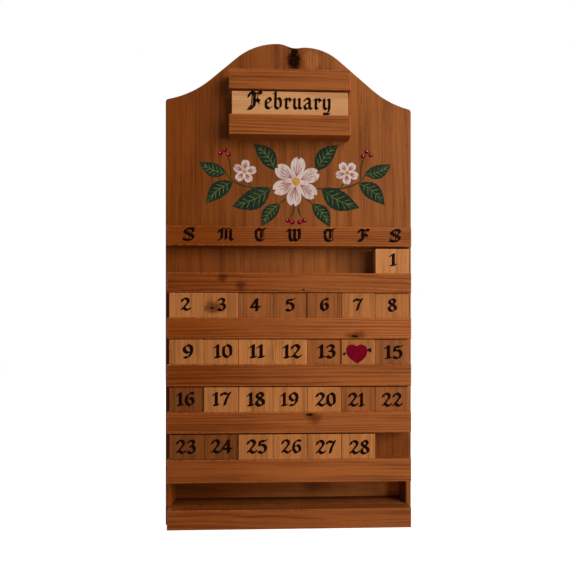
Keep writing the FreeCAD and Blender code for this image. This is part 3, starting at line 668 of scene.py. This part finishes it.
def paint_on(name, draw, low, high, cell, front, thick, material):
    """A closed layer of paint on an upright face, with its outline where the drawing's field is 0.

    The layer stands off the face by its thickness and is let into it by a third of that. Sizes are
    millimetres in, metres out.
    """
    x, z = np.meshgrid(np.arange(low[0], high[0], cell), np.arange(low[1], high[1], cell))
    points, triangles, edges = painted_shape(x, z, draw(x, z))
    count = len(points)
    places = np.zeros((2, count, 3))
    places[:, :, 0], places[:, :, 2] = points[:, 0], points[:, 1]
    places[0, :, 1], places[1, :, 1] = front - thick, front + thick / 3
    begin, end = edges.T
    walls = [np.stack([begin, begin + count, end + count], 1), np.stack([begin, end + count, end], 1)]
    faces = np.concatenate([triangles, triangles[:, ::-1] + count, *walls])
    mesh = bpy.data.meshes.new(name)
    mesh.from_pydata((places.reshape(-1, 3) * MM).tolist(), [], faces.tolist())
    mesh.materials.append(material)
    piece = bpy.data.objects.new(name, mesh)
    scene.collection.objects.link(piece)
    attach(piece, "root")
    return piece


def painted(name, thick, thin, size=300.0):
    """Brushed paint, matt, a little thinner in places."""
    material, tree, shader = new_material(name)
    point = tree.add("TexCoord").outputs["Object"]
    marks = use(tree, BRUSH_MARKS, {"Vector": point, "Thick": thick, "Thin": thin, "Size": size})
    finish_surface(tree, shader, marks["Color"], marks["Roughness"], marks["Height"], 0.0001)
    shader.inputs["Specular IOR Level"].default_value = 0.02
    return material


BLACK_PAINT = painted("black_paint", stain(14, 4, 3), stain(34, 16, 8), 420.0)
CRIMSON_PAINT = painted("crimson_paint", stain(108, 2, 26), stain(122, 6, 32))
LEAF_PAINT = painted("leaf_green_paint", stain(26, 41, 33), stain(42, 56, 38), 240.0)
STEM_PAINT = painted("stem_green_paint", stain(34, 46, 26), stain(52, 60, 34))
LIGHT_GREEN_PAINT = painted("light_green_paint", stain(108, 116, 58), stain(62, 82, 46))
PETAL_PAINT = painted("pale_pink_paint", stain(206, 188, 182), stain(176, 146, 142), 200.0)
STREAK_PAINT = painted("deep_pink_paint", stain(150, 84, 86), stain(172, 112, 108))
OCHRE_PAINT = painted("ochre_paint", stain(196, 148, 66), stain(150, 96, 40), 500.0)

# Lettering, in millimetres: heights, the paint's thickness, and how far right of its column's middle
# each initial stands. Side gap is a share of the height, left of each line's first sign.
FIGURE_HEIGHT = 15.5
FIRST_FIGURES_HEIGHT = 14.4
INITIAL_HEIGHT = 14.6
MONTH_HEIGHT = 20.8
BODY_HEIGHT = 13.2
LETTER_THICKNESS = 0.1
INITIAL_SHIFTS = (4.6, 6.6, 5.6, 4.8, 4.4, 3.8, 0.8)
SIDE_GAP = 0.06


def write(name, node, text, signs, height, centre, foot, width, angle, spread, stretch=1.0,
          line=0.05, cell=0.3):
    """Paint a line of lettering on a node's front.

    Height, centre, foot and the drawing's cell are millimetres. The nib's width, the ink's spread and
    the fine lines' width are shares of the height, and the nib's angle is degrees.
    """
    spans = [signs[sign][1] * stretch for sign in text]
    starts = centre + height * (np.cumsum([0.0] + spans[:-1]) - sum(spans) / 2 + SIDE_GAP)
    angle = math.radians(angle)

    def draw(x, z):
        ink = np.full(x.shape, FAR)
        for sign, start in zip(text, starts):
            broad, _, *fine = signs[sign]
            u, v = (x - start) / height / stretch, (z - foot) / height
            ink = np.minimum(ink, pen_strokes(u, v, broad, width, angle, spread) * height)
            for strokes in fine:
                ink = np.minimum(ink, pen_strokes(u, v, strokes, line, angle, 0.02) * height)
        return ink

    margin = 0.25 * height
    under, over = (0.6, 1.7) if signs is SMALL_LETTERS else (0.2, 1.2)
    low = (starts[0] - margin, foot - under * height)
    high = (starts[-1] + spans[-1] * height + margin, foot + over * height)
    paint_on(name, draw, low, high, cell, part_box(node)[0].y / MM, LETTER_THICKNESS, BLACK_PAINT)


# How far each week's figures were painted right of their tiles' middles, listed by its first date
FIGURE_SHIFTS = {
    1: (1.1,), 2: (-0.9, 0.5, -0.6, -0.1, 0.0, -0.7, 0.5), 9: (1.8, 2.5, 1.5, 2.4, 3.2, 0.0, 2.0),
    16: (-1.0, 0.5, 0.7, -0.3, 1.7, -2.1, 0.0), 23: (-0.8, 0.0, 1.3, 1.3, 1.4, 1.4),
}
# How far below the other figures some dates were painted
FIGURE_DROPS = {
    1: -1.0, 13: 0.4, 15: 1.2, 18: 0.5, 19: 0.5, 20: 1.1, 21: 1.4, 22: 1.6, 24: 0.3, 26: 0.5, 27: 1.6,
    28: 1.9,
}
# The date with a heart in place of its number, with the heart's middle from the tile's, its half width
# and half height, and the arrow's shaft from the heart's middle
HEART_DATE = 14
HEART_SHIFT = (-1.5, -3.8)
HEART_HALF = (10.7, 9.9)
ARROW_SHAFT = ((-15.5, 1.4), (0, 3.6), (15.5, 5.8))


def paint_figures():
    """A number on every date tile but the heart's, each a little off the middle, as a hand sets it."""
    shifts = {first + i: shift for first, week in FIGURE_SHIFTS.items() for i, shift in enumerate(week)}
    for date, shift in shifts.items():
        if date == HEART_DATE:
            continue
        node = f"date_tile_{date:02d}"
        low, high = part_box(node)
        height = FIRST_FIGURES_HEIGHT if date < 9 else FIGURE_HEIGHT
        foot = (low.z + high.z) / 2 / MM + 0.8 - 0.49 * height + rng.uniform(-0.3, 0.3)
        foot -= FIGURE_DROPS.get(date, 0.0)
        narrower = 0.92 if date >= 20 else 1.0
        write(f"date_figure_{date:02d}", node, str(date), FIGURES, height,
              (low.x + high.x) / 2 / MM + shift, foot, width=rng.uniform(0.25, 0.28),
              angle=rng.uniform(27, 31), spread=0.034, stretch=rng.uniform(0.97, 1.02) * narrower,
              cell=0.32)


def paint_initials():
    """The weekdays' initials along their rail, each a little right of its column's middle."""
    low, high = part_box("weekday_rail")
    pitch = (high.x - low.x) / 7 / MM
    foot = (low.z + high.z) / 2 / MM + 1.6 - INITIAL_HEIGHT / 2
    for column, (sign, right) in enumerate(zip("SMTWTFS", INITIAL_SHIFTS)):
        centre = low.x / MM + (column + 0.5) * pitch + right
        write(f"weekday_initial_{column + 1}", "weekday_rail", sign, CAPITALS, INITIAL_HEIGHT, centre,
              foot, width=0.28, angle=35, spread=0.03, stretch=0.86 if sign in "TF" else 0.96, line=0.08)


def paint_month():
    """The month's name on its plate, with a tall first letter."""
    low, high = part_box("month_plate")
    middle, foot = (low.x + high.x) / 2 / MM, low.z / MM + 6.9
    write("month_initial", "month_plate", "F", CAPITALS, MONTH_HEIGHT, middle - 41.0, foot - 1.2,
          width=0.27, angle=35, spread=0.022, stretch=0.74, line=0.09)
    write("month_letters", "month_plate", "ebruary", SMALL_LETTERS, BODY_HEIGHT, middle + 8.9, foot,
          width=0.28, angle=38, spread=0.03, stretch=0.98)


def paint_heart():
    """A heart and an arrow on the fourteenth tile.

    With u and v from the middle, the heart is where (u*u + v*v - 1)^3 is under u*u * v^3.
    """
    low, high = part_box(f"date_tile_{HEART_DATE}")
    x0 = (low.x + high.x) / 2 / MM + HEART_SHIFT[0]
    z0 = (low.z + high.z) / 2 / MM + HEART_SHIFT[1]
    front = low.y / MM

    def heart(x, z):
        u, v = (x - x0 + 0.05 * (z - z0)) / HEART_HALF[0], (z - z0) / HEART_HALF[1]
        round_part = u * u + v * v - 1
        return np.cbrt(round_part ** 3 - u * u * v ** 3) * 5

    def wedge(x, z, point, slope, end):
        """A triangle that widens to the right from its point, as far as its end."""
        return np.maximum(np.abs(z - z0 - point[1]) - (x - x0 - point[0]) * slope, x - x0 - end)

    def arrow(x, z):
        shaft = brush_strokes(x, z, [[(x0 + right, z0 + up) for right, up in ARROW_SHAFT]], 1.15)
        head = wedge(x, z, (-17.0, 1.5), 0.75, -13.8)
        feathers = wedge(x, z, (10.6, 5.9), 0.52, 16.4)
        return np.minimum(np.minimum(shaft, head), feathers)

    paint_on("heart_arrow", arrow, (x0 - 18.5, z0 - 2), (x0 + 17.5, z0 + 10), 0.25, front, 0.08,
             BLACK_PAINT)
    paint_on("heart", heart, (x0 - 14, z0 - 12), (x0 + 14, z0 + 13), 0.35, front, 0.16, CRIMSON_PAINT)


# Spray of leaves and rosettes over the weekday rail, in millimetres. Its left half mirrors its right
# one. A leaf is its foot's X and Z, its heading in degrees, its length and its bend, and its half width
# is a share of its length. A rosette is its middle's X and Z, its radius, its number of petals and its
# turn in radians.
SPRAY_MIDDLE = 7.8
SPRAY_REACH = 112
SPRAY_FOOT = 343.8
SPRAY_TOP = 447
LEAF_WIDTH = 0.24
RIGHT_LEAVES = (
    (24, 413, 50, 40, 0.08), (30, 392, -26, 50, -0.07), (19, 374, -52, 34, 0.08),
    (74, 399, -40, 40, 0.08), (81, 409, 22, 34, -0.08),
)
RIGHT_STEMS = (
    ((12, 392), (34, 392), (56, 393), (74, 400), (83, 411)), ((3, 378), (3, 366), (7, 357)),
    ((12, 380), (19, 374)), ((76, 402), (77, 420), (82, 433)), ((52, 393), (58, 402)),
    ((14, 402), (24, 414)),
)
BERRIES = ((83, 436), (88, 432), (78.5, 430.5), (9.5, 354.5), (4.2, 352.5))
ROSETTES = ((0, 400, 29, 6, 0.4), (60, 411, 14, 5, 0.9), (-60, 411, 14, 5, 0.2))


def both_sides(x, z):
    """x measured from the spray's middle, to the right on both halves."""
    return np.abs(x - SPRAY_MIDDLE), z


def with_mirrored(strokes):
    """Strokes of the spray's right half, and then the same ones in its left half."""
    return [*strokes, *([(-x, z) for x, z in stroke] for stroke in strokes)]


def leaf_lines(leaf):
    """A leaf's midrib and side veins as strokes. Along the leaf, the midrib is off the straight by
    4 * bend * u * (1 - u)."""
    x0, z0, heading, length, bend = leaf
    cos, sin = math.cos(math.radians(heading)), math.sin(math.radians(heading))
    along, over = np.array([cos, sin]), np.array([-sin, cos])

    def place(u, v):
        return tuple(np.array([x0, z0]) + length * (u * along + (v + 4 * bend * u * (1 - u)) * over))

    midrib = [place(u, 0.0) for u in (-0.04, 0.3, 0.6, 0.97)]
    veins = [midrib]
    for u in (0.14, 0.28, 0.42, 0.56, 0.68):
        half = LEAF_WIDTH * math.sin(math.pi * (u + 0.15) ** 0.85)
        for side in (0.75 * half, -0.75 * half):
            veins.append([place(u, 0.0), place(u + 0.08, side * 0.5), place(u + 0.15, side)])
    return midrib, veins


def paint_spray():
    """Rosettes on a stem between leaves, with berries.

    A leaf's half width is a share of its length that runs as sine along it, with a fine saw edge. A
    rosette's rim is its radius times 0.42 + 0.58 * w^0.55, less a notch of 0.1 at each petal's tip,
    where w is the size of the cosine of half its petals' turns.
    """
    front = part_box("backboard")[0].y / MM
    low = (SPRAY_MIDDLE - SPRAY_REACH, SPRAY_FOOT)
    high = (SPRAY_MIDDLE + SPRAY_REACH, SPRAY_TOP)

    def leaves(x, z):
        x, z = both_sides(x, z)
        ink = np.full(x.shape, FAR)
        for x0, z0, heading, length, bend in RIGHT_LEAVES:
            cos, sin = math.cos(math.radians(heading)), math.sin(math.radians(heading))
            u = ((x - x0) * cos + (z - z0) * sin) / length
            v = ((z - z0) * cos - (x - x0) * sin) / length
            kept = np.clip(u, 0, 1)
            half = LEAF_WIDTH * np.sin(np.pi * kept ** 0.85) * (1 + 0.03 * np.sin(52 * kept))
            away = np.abs(v - 4 * bend * u * (1 - u)) - half
            ink = np.minimum(ink, np.maximum(away, np.maximum(-u, u - 1)) * length)
        return ink

    def stems(x, z):
        strokes = [*RIGHT_STEMS, *(leaf_lines(leaf)[0] for leaf in RIGHT_LEAVES)]
        return brush_strokes(x - SPRAY_MIDDLE, z, with_mirrored(strokes), 0.75)

    def veins(x, z):
        strokes = [vein for leaf in RIGHT_LEAVES for vein in leaf_lines(leaf)[1]]
        return brush_strokes(x - SPRAY_MIDDLE, z, with_mirrored(strokes), 0.36)

    def petals(x, z):
        ink = np.full(x.shape, FAR)
        for x0, z0, radius, count, start in ROSETTES:
            u, v = x - SPRAY_MIDDLE - x0, z - z0
            turn = np.arctan2(v, u) - start
            wave = np.abs(np.cos(turn * count / 2))
            notch = 0.1 * np.exp(-((1 - wave) / 0.012) ** 2)
            rim = radius * (0.42 + 0.58 * wave ** 0.55 - notch)
            ink = np.minimum(ink, np.hypot(u, v) - rim)
        return ink

    def streaks(x, z):
        strokes = []
        for x0, z0, radius, count, start in ROSETTES:
            for turn in start + np.arange(count) * 2 * np.pi / count:
                for part, reach in ((-0.26, 0.66), (-0.1, 0.8), (0.08, 0.78), (0.25, 0.62)):
                    cos, sin = math.cos(turn + part), math.sin(turn + part)
                    inner = (x0 + 0.2 * radius * math.cos(turn), z0 + 0.2 * radius * math.sin(turn))
                    strokes.append([inner, (x0 + 0.5 * radius * cos, z0 + 0.5 * radius * sin),
                                    (x0 + reach * radius * cos, z0 + reach * radius * sin)])
        return brush_strokes(x - SPRAY_MIDDLE, z, strokes, 0.46)

    def hearts(x, z):
        return discs(x - SPRAY_MIDDLE, z, [(x0, z0, 0.16 * size) for x0, z0, size, _, _ in ROSETTES])

    def berries(x, z):
        return discs(*both_sides(x, z), [(x0, z0, 2.7) for x0, z0 in BERRIES])

    def glints(x, z):
        return discs(*both_sides(x, z), [(x0 + 0.8, z0 + 0.9, 0.6) for x0, z0 in BERRIES])

    for name, draw, cell, thick, paint in (
            ("painted_stems", stems, 0.4, 0.06, STEM_PAINT),
            ("painted_leaves", leaves, 0.5, 0.1, LEAF_PAINT),
            ("painted_veins", veins, 0.4, 0.14, LIGHT_GREEN_PAINT),
            ("painted_petals", petals, 0.45, 0.16, PETAL_PAINT),
            ("painted_streaks", streaks, 0.35, 0.2, STREAK_PAINT),
            ("painted_hearts", hearts, 0.3, 0.26, OCHRE_PAINT),
            ("painted_berries", berries, 0.35, 0.2, CRIMSON_PAINT),
            ("painted_glints", glints, 0.25, 0.25, PETAL_PAINT)):
        paint_on(name, draw, low, high, cell, front, thick, paint)


paint_figures()
paint_initials()
paint_month()
paint_heart()
paint_spray()


# Stage

WHITE = (1.0, 1.0, 1.0, 1.0)
FLOOR_TONE = 0.46
FLOOR_GLOW = 0.93
FILL_COLOUR = (1.0, 0.93, 0.85, 1.0)
FILL_STRENGTH = 0.135
LAMP_SIZE = 1.9
LAMP_COLOUR = (1.0, 0.96, 0.9)
LAMP_AIM = (0.0, 0.0, 0.3)
# The camera's place in metres, its turn about Z in degrees, its lens in millimetres and its lens's rise
EYE = (-0.0254, -0.627, 0.2101)
EYE_TURN = -2.2
LENS = 33.1
LENS_RISE = 0.097


def looked_at(tree):
    """1 where the eye, a reflection or a clear piece looks on, and 0 where the light falls on others."""
    path = tree.add("LightPath").outputs
    return tree.math("MAXIMUM", path["Is Camera Ray"],
                     tree.math("MAXIMUM", path["Is Glossy Ray"], path["Is Transmission Ray"]))


def make_floor():
    """A pale floor that keeps the calendar's shadow, and shows white where nothing shades it."""
    bpy.ops.mesh.primitive_plane_add(size=8.0)
    floor = bpy.context.object
    floor.name = "floor"
    material, tree, shader = new_material("pale_floor")
    shader.inputs["Base Color"].default_value = (FLOOR_TONE, FLOOR_TONE, FLOOR_TONE, 1.0)
    shader.inputs["Roughness"].default_value = 0.9
    shader.inputs["Specular IOR Level"].default_value = 0.0
    glow = tree.add("Emission", {"Color": WHITE, "Strength": tree.product(looked_at(tree), FLOOR_GLOW)})
    both = tree.add("AddShader", {0: shader.outputs[0], 1: glow.outputs[0]})
    put(tree, both.outputs[0], material.node_tree.nodes["Material Output"].inputs["Surface"])
    floor.data.materials.append(material)


def light_world():
    """White to the eye and to reflections, and a low soft fill to everything else."""
    world = bpy.data.worlds.new("studio")
    world.use_nodes = True
    scene.world = world
    tree = Tree(world.node_tree)
    fill = world.node_tree.nodes["Background"]
    fill.inputs["Color"].default_value = FILL_COLOUR
    fill.inputs["Strength"].default_value = FILL_STRENGTH
    white = tree.add("Background", {"Color": WHITE, "Strength": 1.0})
    mixed = tree.add("MixShader", {0: looked_at(tree), 1: fill.outputs[0], 2: white.outputs[0]})
    put(tree, mixed.outputs[0], world.node_tree.nodes["World Output"].inputs["Surface"])


def make_lamp(name, place, power):
    """A square soft lamp that looks at the calendar's middle."""
    light = bpy.data.lights.new(name, "AREA")
    light.size, light.energy, light.color = LAMP_SIZE, power, LAMP_COLOUR
    lamp = bpy.data.objects.new(name, light)
    scene.collection.objects.link(lamp)
    lamp.location = place
    aim = Vector(LAMP_AIM) - Vector(place)
    lamp.rotation_euler = aim.to_track_quat("-Z", "Y").to_euler()


def make_camera():
    """The photograph's view: level, a little left of the middle and turned a little to the right."""
    data = bpy.data.cameras.new("camera")
    data.sensor_width = 36.0
    data.lens = LENS
    data.shift_y = LENS_RISE
    camera = bpy.data.objects.new("camera", data)
    scene.collection.objects.link(camera)
    camera.location = EYE
    camera.rotation_euler = (math.pi / 2, 0.0, math.radians(EYE_TURN))
    scene.camera = camera


scene.view_settings.view_transform = "Standard"
make_floor()
light_world()
make_lamp("key_lamp", (1.7, -1.55, 0.85), 72.0)
make_lamp("back_lamp", (-1.55, 1.5, 0.95), 40.0)
make_camera()
